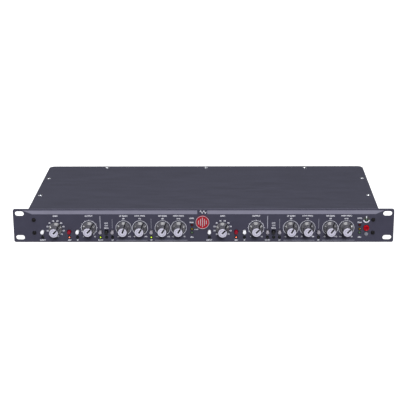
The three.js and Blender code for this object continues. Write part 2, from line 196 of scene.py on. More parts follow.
# painted shade: black for the upper half ring of the power sign
SIGN_SHADE_BLACK = finish("sign_painted_shade", (0.006, 0.006, 0.008), 0.4, grain=400, swing=0.1)
KNOB_GLOSS = finish("knob_gloss", (0.066, 0.065, 0.077), 0.24, grain=500, swing=0.12,
                    rough_swing=0.03, bump=0.04, bump_grain=700, specular=0.9)
BLACK_KEY = finish("black_key", (0.004, 0.004, 0.005), 0.3, grain=500, swing=0.15, specular=0.2)
BLACK_MATT = finish("black_matt", (0.003, 0.003, 0.004), 0.55, grain=500, swing=0.2, specular=0.12)
BLACK_SATIN = finish("black_satin", (0.010, 0.010, 0.012), 0.32, grain=300, swing=0.12, bump=0.12)
BLACK_METAL = finish("black_metal", (0.005, 0.0045, 0.006), 0.4, grain=400, swing=0.15, bump=0.15,
                     specular=0.1)
CAP_GREY = spun("cap_grey", (0.45, 0.44, 0.54), 0.3, 620)
# painted shade: the cap's ring groove is coloured darker than the cap
CAP_GROOVE_SHADE = finish("cap_groove_painted_shade", (0.25, 0.24, 0.31), 0.5, grain=500)
BRIGHT_STEEL = finish("bright_steel", (0.55, 0.56, 0.6), 0.26, metallic=1.0, grain=800, swing=0.06,
                      bump=0.1)
NICKEL = finish("nickel", (0.52, 0.51, 0.49), 0.22, metallic=1.0, grain=800, swing=0.06, bump=0.08)
GOLD = finish("gold_plating", (0.75, 0.52, 0.2), 0.2, metallic=1.0, grain=900, swing=0.08)
WHITE_KEY = finish("white_key", (0.72, 0.72, 0.77), 0.22, grain=500, swing=0.03, bump=0.04)
RED_KEY = finish("red_key", (0.20, 0.001, 0.012), 0.3, grain=500, swing=0.1, bump=0.04,
                 specular=0.15)
SILVER_KEY = finish("silver_key", (0.225, 0.213, 0.25), 0.3, metallic=0.25, grain=700, swing=0.08,
                    bump=0.06)
POWER_KEY = finish("power_key", (0.40, 0.001, 0.006), 0.3, grain=500, swing=0.1, specular=0.06)
# painted shade: the power key's dished middle is coloured a deeper red than its rim
POWER_DISH_SHADE = finish("power_dish_painted_shade", (0.22, 0.001, 0.007), 0.3, grain=500, swing=0.1, specular=0.06)
FROSTED = finish("frosted_lens", (0.12, 0.12, 0.155), 0.35, grain=700, swing=0.12, coat=0.3)
BADGE_RED = finish("badge_red", (0.26, 0.002, 0.010), 0.32, grain=400, swing=0.12, specular=0.2)
BADGE_PALE = finish("badge_pale", (0.36, 0.32, 0.36), 0.35, grain=500, swing=0.06)
LED_DARK = lamp("led_dark", (0.003, 0.006, 0.006))
LED_DARK_RED = lamp("led_dark_red", (0.055, 0.002, 0.006))
LED_DARK_AMBER = lamp("led_dark_amber", (0.13, 0.088, 0.008))
LED_DARK_GREEN = lamp("led_dark_green", (0.06, 0.105, 0.065))
LED_RED_LIT = lamp("led_red_lit", (0.8, 0.10, 0.05), (1.0, 0.26, 0.14), 1.3)
LED_RED_RIM = lamp("led_red_rim", (0.10, 0.012, 0.010))
LED_GREEN_LIT = lamp("led_green_lit", (0.35, 0.5, 0.02), (0.48, 0.72, 0.015), 1.0)
LED_GREEN_RIM = lamp("led_green_rim", (0.035, 0.05, 0.010))
BOARD = finish("circuit_board_lacquer", (0.010, 0.055, 0.026), 0.3, grain=250, swing=0.35, bump=0.3,
               bump_grain=500)
WINDING = finish("winding_tape", (0.45, 0.30, 0.05), 0.4, grain=200, swing=0.15, bump=0.5,
                 bump_grain=900, stretch=(1, 1, 8))


# ------------------------------------------------------------------ shapes

def lathe(bm, profile, steps=48, material=0, centre=(0.0, 0.0), closed=False):
    """Turns (radius, y) pairs round the Y axis through centre (x, z)."""
    rings = []
    for radius, y in profile:
        if radius < 1e-6:
            rings.append([bm.verts.new((centre[0], y, centre[1]))])
            continue
        turns = [TAU * i / steps for i in range(steps)]
        rings.append([bm.verts.new((centre[0] + radius * math.sin(t), y,
                                    centre[1] + radius * math.cos(t))) for t in turns])
    pairs = list(zip(rings, rings[1:])) + ([(rings[-1], rings[0])] if closed else [])
    for a, b in pairs:
        for i in range(steps):
            j = (i + 1) % steps
            if len(a) == 1 and len(b) == 1:
                continue
            if len(a) == 1:
                corners = (a[0], b[i], b[j])
            elif len(b) == 1:
                corners = (a[i], b[0], a[j])
            else:
                corners = (a[i], b[i], b[j], a[j])
            bm.faces.new(corners).material_index = material
    return bm


def block(bm, low, high, bevel=0.0, material=0):
    """Box between two corners, with its edges rounded."""
    made = bmesh.ops.create_cube(bm, size=1.0)["verts"]
    for v in made:
        v.co = Vector(((low[k] + high[k]) / 2 + v.co[k] * (high[k] - low[k]) for k in range(3)))
    faces = {f for v in made for f in v.link_faces}
    for f in faces:
        f.material_index = material
    if bevel:
        edges = list({e for v in made for e in v.link_edges})
        bmesh.ops.bevel(bm, geom=edges, offset=bevel, segments=2, profile=0.5,
                        affect="EDGES", clamp_overlap=True, material=material)
    return bm


def circle(x, z, radius, steps=32, clockwise=False):
    """A round outline; holes are drawn clockwise."""
    turns = [(-TAU if clockwise else TAU) * i / steps for i in range(steps)]
    return [(x + radius * math.cos(t), z + radius * math.sin(t)) for t in turns]


def obround(x, z, length, height, steps=12):
    """A slot's outline, drawn clockwise as a hole."""
    half, radius = (length - height) / 2, height / 2
    points = []
    for side in (1, -1):
        for i in range(steps + 1):
            t = side * math.pi / 2 - math.pi * i / steps
            points.append((x + side * half + radius * math.cos(t), z + radius * math.sin(t)))
    return points


def rounded(width, height, radius, steps=6, x=0.0, z=0.0, clockwise=False):
    """A rectangle's outline with round corners."""
    points = []
    for quarter, (sx, sz) in enumerate(((1, 1), (-1, 1), (-1, -1), (1, -1))):
        for i in range(steps + 1):
            t = (quarter + i / steps) * TAU / 4
            points.append((x + sx * (width / 2 - radius) + radius * math.cos(t),
                           z + sz * (height / 2 - radius) + radius * math.sin(t)))
    return points[::-1] if clockwise else points


def sheet(outline, holes, thickness, bevel, upright=True):
    """A flat plate with holes and rounded edges, as a mesh in millimetres.
    Upright, it fills y from 0 to thickness; lying, z from 0 to thickness."""
    curve = bpy.data.curves.new("outline", "CURVE")
    curve.dimensions = "2D"
    curve.fill_mode = "BOTH"
    curve.extrude = thickness / 2 - bevel
    curve.bevel_depth = bevel
    curve.bevel_resolution = 2
    curve.offset = -bevel
    for loop in [outline, *holes]:
        spline = curve.splines.new("POLY")
        spline.points.add(len(loop) - 1)
        for point, (u, v) in zip(spline.points, loop):
            point.co = (u, v, 0.0, 1.0)
        spline.use_cyclic_u = True
    carrier = bpy.data.objects.new("outline", curve)
    mesh = bpy.data.meshes.new_from_object(carrier)
    bpy.data.objects.remove(carrier)
    bpy.data.curves.remove(curve)
    if upright:
        mesh.transform(Matrix.Translation((0, thickness / 2, 0)) @ Matrix.Rotation(TAU / 4, 4, "X"))
    else:
        mesh.transform(Matrix.Translation((0, 0, thickness / 2)))
    bm = bmesh.new()
    bm.from_mesh(mesh)
    bpy.data.meshes.remove(mesh)
    bmesh.ops.remove_doubles(bm, verts=bm.verts, dist=1e-4)
    bm.normal_update()
    for edge in bm.edges:  # a seam runs round each flat side, where its rounding begins
        flat = [abs(face.normal[1 if upright else 2]) > 0.999 for face in edge.link_faces]
        edge.seam = any(flat) and not all(flat)
    return bm


INK_THICK = 0.1  # half of a print's thickness stands out of its surface
INK = (-INK_THICK / 2, INK_THICK / 2)


def strip(bm, inner, outer):
    """A print between two lines of (x, z) points, as a thin closed solid."""
    rows = [[bm.verts.new((x, y, z)) for x, z in line]
            for line, y in ((inner, INK[0]), (outer, INK[0]), (outer, INK[1]), (inner, INK[1]))]
    for i in range(len(inner) - 1):
        for a, b in zip(rows, rows[1:] + rows[:1]):
            bm.faces.new((a[i], a[i + 1], b[i + 1], b[i]))
    for i in (0, -1):
        bm.faces.new([row[i] for row in rows])
    return bm


def arc(bm, x, z, radius, width, start, end, steps=None):
    """Printed arc; angles in degrees clockwise from the top."""
    steps = steps or max(2, int(abs(end - start) / 5))
    turns = [math.radians(start + (end - start) * i / steps) for i in range(steps + 1)]
    lines = [[(x + r * math.sin(t), z + r * math.cos(t)) for t in turns]
             for r in (radius - width / 2, radius + width / 2)]
    return strip(bm, *lines)


def bar(bm, x0, x1, z0, z1):
    """Printed rectangle."""
    return strip(bm, [(x0, z0), (x1, z0)], [(x0, z1), (x1, z1)])


def along(bm, profile, half_width, sink, proud, material=0):
    """A line of even width down a turned surface at 12 o'clock; profile is (radius, y) pairs."""
    rows = [[bm.verts.new((x, y, r)) for r, y in profile]
            for x, profile in (
                (-half_width, [(r + proud, y) for r, y in profile]),
                (half_width, [(r + proud, y) for r, y in profile]),
                (half_width, [(r - sink, y) for r, y in profile]),
                (-half_width, [(r - sink, y) for r, y in profile]))]
    for a, b in zip(rows, rows[1:] + rows[:1]):
        for i in range(len(profile) - 1):
            bm.faces.new((a[i], a[i + 1], b[i + 1], b[i])).material_index = material
    for i in (0, -1):
        bm.faces.new([row[i] for row in rows]).material_index = material
    return bm


LETTERS = {}


def letters(text):
    """The text as a flat mesh of unit width and height, kept for the next use."""
    if text not in LETTERS:
        curve = bpy.data.curves.new("text", "FONT")
        curve.body = text
        curve.extrude = 0.5
        curve.offset = 0.028
        curve.resolution_u = 3
        carrier = bpy.data.objects.new("text", curve)
        mesh = bpy.data.meshes.new_from_object(carrier)
        bpy.data.objects.remove(carrier)
        bpy.data.curves.remove(curve)
        points = [v.co.copy() for v in mesh.vertices]
        low = [min(p[k] for p in points) for k in (0, 1)]
        size = [max(p[k] for p in points) - low[k] for k in (0, 1)]
        flat = [((p.x - low[0]) / size[0] - 0.5, (p.y - low[1]) / size[1] - 0.5, p.z)
                for p in points]
        LETTERS[text] = (flat, [list(f.vertices) for f in mesh.polygons], size[0] / size[1])
        bpy.data.meshes.remove(mesh)
    return LETTERS[text]


def write(bm, text, x, z, height, width=None, surface=0.0, rear=False):
    """Prints text centred on (x, z); rear text reads from behind the unit."""
    points, faces, aspect = letters(text)
    width = width or height * aspect
    side = -1 if rear else 1
    made = [bm.verts.new((x + side * u * width, surface - side * w * INK_THICK, z + v * height))
            for u, v, w in points]
    for corners in faces:
        bm.faces.new([made[i] for i in corners])
    return bm


def cut(bm, tool):
    """Takes one closed shape out of another."""
    objects = []
    for shape in (bm, tool):
        mesh = bpy.data.meshes.new("cut")
        bmesh.ops.recalc_face_normals(shape, faces=shape.faces)
        shape.to_mesh(mesh)
        shape.free()
        objects.append(bpy.data.objects.new("cut", mesh))
        bpy.context.scene.collection.objects.link(objects[-1])
    modifier = objects[0].modifiers.new("cut", "BOOLEAN")
    modifier.operation = "DIFFERENCE"
    modifier.solver = "EXACT"
    modifier.object = objects[1]
    depsgraph = bpy.context.evaluated_depsgraph_get()
    result = bmesh.new()
    result.from_mesh(bpy.data.meshes.new_from_object(objects[0].evaluated_get(depsgraph)))
    for o in objects:
        bpy.data.objects.remove(o)
    return result


# ------------------------------------------------------------------ pieces

def mesh_of(name, bm, materials, smooth=32, tidy=True):
    """A shape in millimetres as a mesh in metres, smooth where it bends by less than smooth
    degrees. Text isn't tidied, because its faces already point outwards."""
    if tidy:
        bmesh.ops.recalc_face_normals(bm, faces=bm.faces)
    bmesh.ops.scale(bm, vec=(MM, MM, MM), verts=bm.verts)
    mesh = bpy.data.meshes.new(name)
    bm.to_mesh(mesh)
    bm.free()
    for material in materials:
        mesh.materials.append(material)
    mesh.shade_smooth()
    mesh.set_sharp_from_angle(angle=math.radians(smooth))
    for edge in mesh.edges:  # the flat sides of a sheet are shaded flat, right to their seams
        edge.use_edge_sharp = edge.use_edge_sharp or edge.use_seam
    return mesh


def place(name, mesh, at=(0.0, 0.0, 0.0), body=CASE, slot=None, replaces=(), turn=0.0, tilt=None):
    """Sets a mesh on the frame: at is in millimetres, turn is clockwise seen from the front."""
    piece = bpy.data.objects.new(name, mesh)
    bpy.context.scene.collection.objects.link(piece)
    spot = Vector((at[0] * MM, FRONT_Y + at[1] * MM, at[2] * MM))
    turned = tilt or Matrix.Rotation(math.radians(turn), 4, "Y")
    piece.matrix_world = Matrix.Translation(spot) @ turned
    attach(piece, body)
    if replaces:
        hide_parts(*replaces)
    return piece


def build(name, bm, materials, smooth=32, tidy=True, **where):
    """Makes a piece from a shape; where holds what place takes."""
    return place(name, mesh_of(name, bm, materials, smooth, tidy), **where)


# ------------------------------------------------------------------ front panel

SLOT_X, SLOT_STEP, SLOT_SIZE = 233.1, 31.75, (11.4, 6.4)
RACK_SLOTS = [(sx * SLOT_X, PANEL_HEIGHT / 2 + sz * SLOT_STEP / 2)
              for sx in (-1, 1) for sz in (-1, 1)]
HOLE = {"screw": 1.8, "shaft": 4.8, "key": 2.7, "status": 1.55, "meter": 1.6, "power_key": 3.75,
        "power_light": 1.4, "lens": 2.6}  # radii
PLATE_THICK, PLATE_CORNER, PLATE_ROUND = 2.7, 2.5, 0.35
STATUS_LED_Z = 6.5
METER_HEIGHTS = (22.9, 17.5, 12.8)
METER_X = -14.2
POWER_X, POWER_Z = middle("power_button")
POWER_LED_Z, LENS_Z = 29.7, 10.9
SCREWS = [middle(f"front_panel_screw_{i}") for i in (1, 2, 3, 4)]

holes = [obround(x, z, *SLOT_SIZE) for x, z in RACK_SLOTS]
holes += [circle(x, z, HOLE["screw"], 24, True) for x, z in SCREWS]
for channel in CHANNELS:
    holes += [circle(*middle(f"{dial}_shaft_{channel}"), HOLE["shaft"], 40, True) for dial in DIALS]
    for button in BUTTONS:
        x, z = middle(f"{button}_button_{channel}")
        holes += [circle(x, z, HOLE["key"], 32, True),
                  circle(x, STATUS_LED_Z, HOLE["status"], 24, True)]
    meter_x = METER_X + CHANNEL_STEP * (channel - 1)
    holes += [circle(meter_x, z, HOLE["meter"], 24, True) for z in METER_HEIGHTS]
holes += [circle(POWER_X, POWER_Z, HOLE["power_key"], 40, True),
          circle(POWER_X, POWER_LED_Z, HOLE["power_light"], 24, True),
          circle(POWER_X, LENS_Z, HOLE["lens"], 32, True)]
outline = rounded(PANEL_WIDTH, PANEL_HEIGHT, PLATE_CORNER, 8, z=PANEL_HEIGHT / 2)
plate = sheet(outline, holes, PLATE_THICK, PLATE_ROUND)
for face in plate.faces:  # the top face is painted lighter: a painted highlight where the light from above falls
    at_top = face.calc_center_median().z > PANEL_HEIGHT - 1
    face.material_index = int(at_top and face.normal.z > 0.9)
build("panel_plate", plate, [PANEL_PAINT, PANEL_TOP_HIGHLIGHT], slot="panel_paint", replaces=["front_panel"])

# ------------------------------------------------------------------ panel printing

BAND_LOW, BAND_HIGH = 37.4, 42.35
BAND_LEFT, BAND_RIGHT = -7.3, 5.4  # the ends that face the gap in the middle
band = bmesh.new()
for upper, lower in (((-229.0, BAND_LEFT), (-217.0, BAND_LEFT)),
                     ((BAND_RIGHT, 229.0), (BAND_RIGHT, 218.0))):
    strip(band, [(x, BAND_HIGH) for x in upper], [(x, BAND_LOW) for x in lower])
build("band_print", band, [BAND_PRINT], slot="panel_paint")

# each text and its printed width
TITLES = {"gain": ("GAIN", 6.0), "output": ("OUTPUT", 10.0), "low_gain": ("LF GAIN", 10.2),
          "low_freq": ("LOW FREQ", 13.2), "high_gain": ("HF GAIN", 10.6),
          "high_freq": ("HIGH FREQ", 13.6)}
UNITS = {"low_gain": ("dB", 3.2), "low_freq": ("Hz", 3.2), "high_gain": ("dB", 3.2),
         "high_freq": ("kHz", 4.8)}
KEY_LABELS = {"input": ("INPUT", 7.4), "phantom": ("48V", 4.6), "eq": ("EQ IN", 6.0),
              "low_shelf": ("LF", 2.4), "high_shelf": ("HF", 2.6)}
ENDS = {"output": ("0", "10"), "low_gain": ("-15", "+15"), "low_freq": ("30", "300"),
        "high_gain": ("-15", "+15"), "high_freq": ("1.5", "18")}
GAIN_MARKS = [str(20 + 5 * i) for i in range(12)]
FIRST_MARK, MARK_STEP, MARK_RADIUS = -165, 30, 10.6  # degrees, degrees and millimetres
TITLE_Z, TITLE_HEIGHT = 35.0, 2.1
UNIT_Z, END_X, END_Z, SMALL_HEIGHT = 31.5, 7.2, 7.4, 1.7
LABEL_Z, LABEL_HEIGHT = 2.7, 1.8
RING_RADIUS, RING_WIDTH, RING_END = 9.75, 0.38, 147
TICKS, TICK_RADII, TICK_WIDTH = 11, (9.9, 11.0), 0.4
DIVIDER_LOW = 18.2
UNDERLINES = ((-110.5, -71.0), (-61.5, -20.0))

for channel in CHANNELS:
    ink = bmesh.new()
    faint = bmesh.new()
    shift = CHANNEL_STEP * (channel - 1)
    for dial in DIALS:
        x, z = middle(f"{dial}_shaft_{channel}")
        title, width = TITLES[dial]
        write(ink, title, x, TITLE_Z, TITLE_HEIGHT, width)
        if dial == "gain":
            for i, mark in enumerate(GAIN_MARKS):
                t = math.radians(FIRST_MARK + MARK_STEP * i)
                write(ink, mark, x + MARK_RADIUS * math.sin(t), z + MARK_RADIUS * math.cos(t),
                      1.9, 2.6)
            continue
        arc(ink, x, z, RING_RADIUS, RING_WIDTH, -RING_END, RING_END)
        if dial == "output":
            for i in range(TICKS):
                t = math.radians(RING_END * (2 * i / (TICKS - 1) - 1))
                side = Vector((math.cos(t), -math.sin(t))) * TICK_WIDTH / 2
                tick = [Vector((x + r * math.sin(t), z + r * math.cos(t))) for r in TICK_RADII]
                strip(ink, [p - side for p in tick], [p + side for p in tick])
        if dial in UNITS:
            unit, width = UNITS[dial]
            write(ink, unit, x, UNIT_Z, SMALL_HEIGHT, width)
        for text, end_x in zip(ENDS[dial], (x - END_X, x + END_X)):
            write(ink, text, end_x, END_Z, SMALL_HEIGHT)
    for key, (label, width) in KEY_LABELS.items():
        write(ink, label, middle(f"{key}_button_{channel}")[0], LABEL_Z, LABEL_HEIGHT, width)
    x = middle(f"polarity_button_{channel}")[0]  # a struck-through ring
    arc(ink, x, 2.8, 0.85, 0.35, 0, 360, steps=24)
    strip(ink, [(x - 1.1, 1.55), (x + 0.8, 4.2)], [(x - 0.8, 1.4), (x + 1.1, 4.05)])
    x = middle(f"filter_button_{channel}")[0]
    for line, (text, width) in zip((25.5, 22.2, 18.9), (("LOW", 4.6), ("CUT", 4.4), ("80Hz", 5.6))):
        write(ink, text, x, line, LABEL_HEIGHT, width)
    x = METER_X + shift
    for text, z, width in (("LEVEL", 31.9, 6.0), ("PEAK", 26.4, 5.4), ("dBu", 6.8, 4.2)):
        write(ink, text, x, z, SMALL_HEIGHT, width)
    if channel == 1:
        write(ink, "0 dB", x + 5.6, 17.1, 1.5, 4.6)
    eq_x = middle(f"eq_button_{channel}")[0]
    bar(faint, eq_x - 0.45, eq_x + 0.45, DIVIDER_LOW, 35.0)
    for key in ("low_shelf", "high_shelf"):
        line_x = middle(f"{key}_button_{channel}")[0]
        bar(faint, line_x - 0.2, line_x + 0.2, DIVIDER_LOW, 31.0)
    for start, end in UNDERLINES:
        bar(faint, start + shift, end + shift, 2.25, 2.7)
    build(f"channel_print_{channel}", ink, [WHITE_PRINT], tidy=False, slot="panel_paint")
    build(f"channel_lines_{channel}", faint, [LINE_PRINT], slot="panel_paint")

# the small sign in the band's gap: two periods of a wave
SIGN_X, SIGN_LENGTH, SIGN_Z, SIGN_HEIGHT, SIGN_STROKE = -4.0, 8.0, 40.2, 3.0, 1.2
sign = bmesh.new()
wave = [(SIGN_X + SIGN_LENGTH * t, SIGN_Z + SIGN_HEIGHT / 2 * math.sin(2 * TAU * t))
        for t in (i / 40 for i in range(41))]
strip(sign, *([(x, z + side * SIGN_STROKE / 2) for x, z in wave] for side in (-1, 1)))
# power sign: a white bar and lower half ring; its upper half ring is painted black, a painted shade
# over the top of the sign
POWER_SIGN = (POWER_X, POWER_LED_Z + 0.2)
arc(sign, *POWER_SIGN, 3.45, 1.3, 98, 262)
bar(sign, POWER_X - 0.55, POWER_X + 0.55, POWER_LED_Z + 1.9, POWER_LED_Z + 5.0)
build("centre_and_power_print", sign, [WHITE_PRINT], slot="panel_paint")
ground = bmesh.new()
for start, end in ((12, 98), (262, 348)):
    arc(ground, *POWER_SIGN, 3.2, 2.2, start, end)
build("power_sign_painted_shade", ground, [SIGN_SHADE_BLACK], slot="panel_paint")

# ------------------------------------------------------------------ badge

BADGE_BARS, BADGE_BAR_STEP, BADGE_BAR_WIDTH = (5.0, 9.0, 12.5, 9.0, 5.0), 2.5, 0.9
x, z = middle("badge")
badge = bmesh.new()
lathe(badge, [(0, 0.05), (8.7, 0.05), (8.75, -0.1), (8.75, -1.35), (8.66, -1.66), (8.5, -1.8),
              (8.25, -1.8), (8.1, -1.7), (8.02, -1.5), (0, -1.45)], 72)
for face in badge.faces:  # the raised rim is pale
    face.material_index = int(face.calc_center_median().y < -1.55)
for i, height in enumerate(BADGE_BARS):
    u = (i - 2) * BADGE_BAR_STEP
    block(badge, (u - BADGE_BAR_WIDTH / 2, -1.8, -height / 2),
          (u + BADGE_BAR_WIDTH / 2, -1.3, height / 2), 0.15, material=1)
build("badge_disc", badge, [BADGE_RED, BADGE_PALE], at=(x, 0, z), slot="red_enamel",
      replaces=["badge"])

# ------------------------------------------------------------------ panel screws

screw = bmesh.new()
lathe(screw, [(0, 0.1), (2.62, 0.1), (2.7, -0.1), (2.66, -0.5), (2.45, -0.95), (2.05, -1.35),
              (1.6, -1.6), (1.3, -1.68), (1.15, -1.66), (0, -1.66)], 40)
socket = bmesh.new()
lathe(socket, [(0, -3), (1.0, -3), (1.0, -0.9), (0, -0.7)], 6)
screw_mesh = mesh_of("panel_screw", cut(screw, socket), [BLACK_METAL])
for i, (x, z) in enumerate(SCREWS, 1):
    place(f"panel_screw_{i}", screw_mesh, (x, 0, z), slot="black_shell",
          replaces=[f"front_panel_screw_{i}"], turn=i * 17)

# ------------------------------------------------------------------ knobs

KNOB_FRONT = reach("gain_knob_1")[0]
# a plain neck, which widens through a small fillet into the straight cone of the skirt
FLARE = [(8.6, -1.75), (8.55, -2.0), (8.4, -2.2), (6.3, -4.3), (5.95, -4.7), (5.7, -5.15),
         (5.52, -5.7), (5.43, -6.4), (5.4, -8.0), (5.4, -13.0), (5.43, -18.1)]
KNOB_PROFILE = [
    (0, -17.0), (3.2, -17.0), (3.2, -2.9), (6.2, -2.9), (6.2, -0.75), (6.35, -0.6), (8.4, -0.6),
    (8.55, -0.7), (8.6, -0.9), *FLARE, (5.42, -18.35), (5.25, -18.45), (0, -18.45),
]
CAP_PROFILE = [
    (0, -18.3), (5.2, -18.3), (5.4, -18.45), (5.45, -18.7), (5.43, -19.05), (5.3, -19.3),
    (5.1, -19.38), (4.9, KNOB_FRONT), (3.85, KNOB_FRONT), (3.75, -19.1), (3.4, -19.1),
    (3.3, KNOB_FRONT), (0, KNOB_FRONT),
]
CAP_GROOVE_RADII = (3.3, 3.8)
POINTER_HALF, POINTER_TAIL = 1.05, 0.9  # half its width, and its reach past the middle
NUT_PROFILE = [(4.5, -0.1), (5.5, -0.1), (5.75, -0.35), (5.75, -1.75), (5.5, -2.0), (4.5, -2.0)]

knob_bm = lathe(bmesh.new(), KNOB_PROFILE, 96)
# the pointer: a matt line down the body, and on across the cap to its middle
along(knob_bm, FLARE[1:], half_width=0.7, sink=0.5, proud=0.05, material=1)
block(knob_bm, (-POINTER_HALF, KNOB_FRONT + 0.02, -POINTER_TAIL), (POINTER_HALF, -18.0, 5.2), 0.06,
      material=1)
KNOB_MESH = mesh_of("knob_body", knob_bm, [KNOB_GLOSS, BLACK_MATT], 40)

cap_bm = lathe(bmesh.new(), CAP_PROFILE, 96)
for face in cap_bm.faces:  # the groove is painted darker: painted shade in the recess
    spot = face.calc_center_median()
    in_groove = CAP_GROOVE_RADII[0] < math.hypot(spot.x, spot.z) < CAP_GROOVE_RADII[1]
    face.material_index = int(in_groove and spot.y < -19)
pocket = block(bmesh.new(), (-POINTER_HALF, -21, -POINTER_TAIL), (POINTER_HALF, -18.6, 7.0))
CAP_MESH = mesh_of("knob_cap", cut(cap_bm, pocket), [CAP_GREY, CAP_GROOVE_SHADE], 40)

for channel in CHANNELS:
    nuts = bmesh.new()
    for dial in DIALS:
        # a dial turns equally far to both sides of 12 o'clock, so its limits tell where it rests
        pointer = -sum(JOINTS[f"{dial}_turn_{channel}"]["range_deg"]) / 2
        x, z = middle(f"{dial}_shaft_{channel}")
        body, tag = f"{dial}_control_{channel}", f"{dial}_{channel}"
        place(f"knob_body_{tag}", KNOB_MESH, (x, 0, z), body, "black_plastic",
              [f"{dial}_knob_{channel}"], pointer)
        place(f"knob_cap_{tag}", CAP_MESH, (x, 0, z), body, "silver_cap", turn=pointer)
        lathe(nuts, NUT_PROFILE, 6, centre=(x, z), closed=True)
    build(f"bushing_nuts_{channel}", nuts, [NICKEL], 20, slot="steel")

# ------------------------------------------------------------------ buttons and lights

KEY_FRONT = reach("input_button_1")[0]
KEY_PROFILE = [(0, 12.0), (1.15, 12.0), (1.15, 5.5), (2.2, 5.5), (2.2, KEY_FRONT + 0.8),
               (2.13, KEY_FRONT + 0.45), (1.95, KEY_FRONT + 0.2), (1.7, KEY_FRONT + 0.06),
               (1.35, KEY_FRONT), (0.55, KEY_FRONT), (0.45, KEY_FRONT + 0.1), (0, KEY_FRONT + 0.12)]
KEY_FINISH = {"input": WHITE_KEY, "phantom": RED_KEY, "polarity": WHITE_KEY, "eq": SILVER_KEY,
              "filter": BLACK_KEY, "low_shelf": SILVER_KEY, "high_shelf": SILVER_KEY}
KEY_SLOT = {"input": "white_cap", "phantom": "red_cap", "polarity": "white_cap",
            "filter": "black_cap"}  # the others are silver
LIT = {("phantom", 1): LED_RED_LIT, ("phantom", 2): LED_RED_LIT, ("eq", 1): LED_GREEN_LIT,
       ("high_shelf", 1): LED_GREEN_LIT}
LED_RIM = [(0, 2.5), (1.35, 2.5), (1.35, 0.0), (1.25, -0.25), (1.05, -0.42), (0.8, -0.54)]
LED_CORE = [(0.8, -0.54), (0.5, -0.62), (0.2, -0.65), (0, -0.66)]
BEZEL = [(1.37, 1.0), (1.5, 1.0), (2.0, 0.05), (2.05, -0.1), (1.95, -0.22), (1.6, -0.25),
         (1.37, -0.15)]
BEZEL_MATERIAL = 1


def led(bm, x, z, core=0, rim=None):
    """A lens in a black ring; the middle of a lit lens takes another material than its rim."""
    lathe(bm, LED_RIM, 32, rim or core, (x, z))
    lathe(bm, LED_CORE, 32, core, (x, z))
    lathe(bm, BEZEL, 32, BEZEL_MATERIAL, (x, z), closed=True)
    bmesh.ops.remove_doubles(bm, verts=bm.verts, dist=1e-4)


LED_KINDS = [LED_DARK, BLACK_MATT, LED_DARK_RED, LED_DARK_AMBER, LED_DARK_GREEN,
             LED_RED_LIT, LED_RED_RIM, LED_GREEN_LIT, LED_GREEN_RIM]
for channel in CHANNELS:
    lights = bmesh.new()
    for key in BUTTONS:
        node = f"{key}_button_{channel}"
        x, z = middle(node)
        shape = lathe(bmesh.new(), KEY_PROFILE, 48)
        build(f"key_{key}_{channel}", shape, [KEY_FINISH[key]], 40, at=(x, 0, z),
              body=f"{key}_key_{channel}", slot=KEY_SLOT.get(key, "silver_cap"), replaces=[node])
        lit = LIT.get((key, channel), LED_DARK)
        core = LED_KINDS.index(lit)
        led(lights, x, STATUS_LED_Z, core, core + 1 if lit != LED_DARK else None)
    for kind, z in zip((2, 3, 4), METER_HEIGHTS):
        led(lights, METER_X + CHANNEL_STEP * (channel - 1), z, kind)
    build(f"lights_{channel}", lights, LED_KINDS, 50, slot="black_plastic")

power_front = reach("power_button")[0]
power_bm = lathe(bmesh.new(), [
    (0, 12.0), (1.15, 12.0), (1.15, 5.5), (3.4, 5.5), (3.4, power_front + 0.7),
    (3.33, power_front + 0.3), (3.13, power_front + 0.05), (2.85, power_front),
    (2.6, power_front + 0.1)], 64)
# its dished middle is painted a deeper red: painted shade in the dish
lathe(power_bm, [(2.6, power_front + 0.1), (2.1, power_front + 0.4), (1.4, power_front + 0.6),
                 (0.7, power_front + 0.68), (0, power_front + 0.7)], 64, material=1)
bmesh.ops.remove_doubles(power_bm, verts=power_bm.verts, dist=1e-4)
build("power_key_cap", power_bm, [POWER_KEY, POWER_DISH_SHADE], 50, at=(POWER_X, 0, POWER_Z),
      body="power_key", slot="power_red", replaces=["power_button"])
power_light = bmesh.new()
led(power_light, POWER_X, POWER_LED_Z)
build("power_light", power_light, [LED_DARK_GREEN, BLACK_MATT], 50, slot="black_plastic")
lens = lathe(bmesh.new(), [(0, 2.5), (2.5, 2.5), (2.5, -0.5), (2.4, -0.8), (2.1, -1.0),
                           (1.2, -1.15), (0, -1.2)], 40)
build("standby_lens", lens, [FROSTED], 50, at=(POWER_X + 0.2, 0, LENS_Z), slot="silver_cap")

# ------------------------------------------------------------------ case

CASE_HALF = (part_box("top_cover")[1].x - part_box("top_cover")[0].x) / 2 / MM
CASE_FRONT, CASE_REAR = reach("top_cover")
LID_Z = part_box("top_cover")[0].z / MM
LID_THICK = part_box("top_cover")[1].z / MM - LID_Z
WALL_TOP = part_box("chassis_tray")[1].z / MM
WALL, FLANGE, CORNER = 1.5, 13.0, 8.0
WINDOW_HALF, WINDOW_LOW, WINDOW_HIGH = 205, 5, 37  # the opening that the rear panel covers
EAR_INNER = 211.3  # the tray's front tabs reach from here to its sides
# each (x, y)
LID_SCREWS = [(-215, 61.5), (215, 61.5), (-215, 139.5), (215, 139.5), (-139.5, 192.5), (0, 192.5),
              (139.5, 192.5)]
FLOOR_SCREWS = [(x, y) for x in (-190, -52, 85) for y in (40, 155)] + [(150, 112)]


def plan(inset, front):
    """The case's outline seen from above, as (x, y), drawn in by an inset."""
    half, rear, radius = CASE_HALF - inset, CASE_REAR - inset, max(CORNER - inset, 0.4)
    points = [(-half, front), (half, front)]
    for side in (1, -1):
        for i in range(13):
            t = (i if side == 1 else 12 - i) / 12 * TAU / 4
            points.append((side * (half - radius + radius * math.cos(t)),
                           rear - radius + radius * math.sin(t)))
    return points


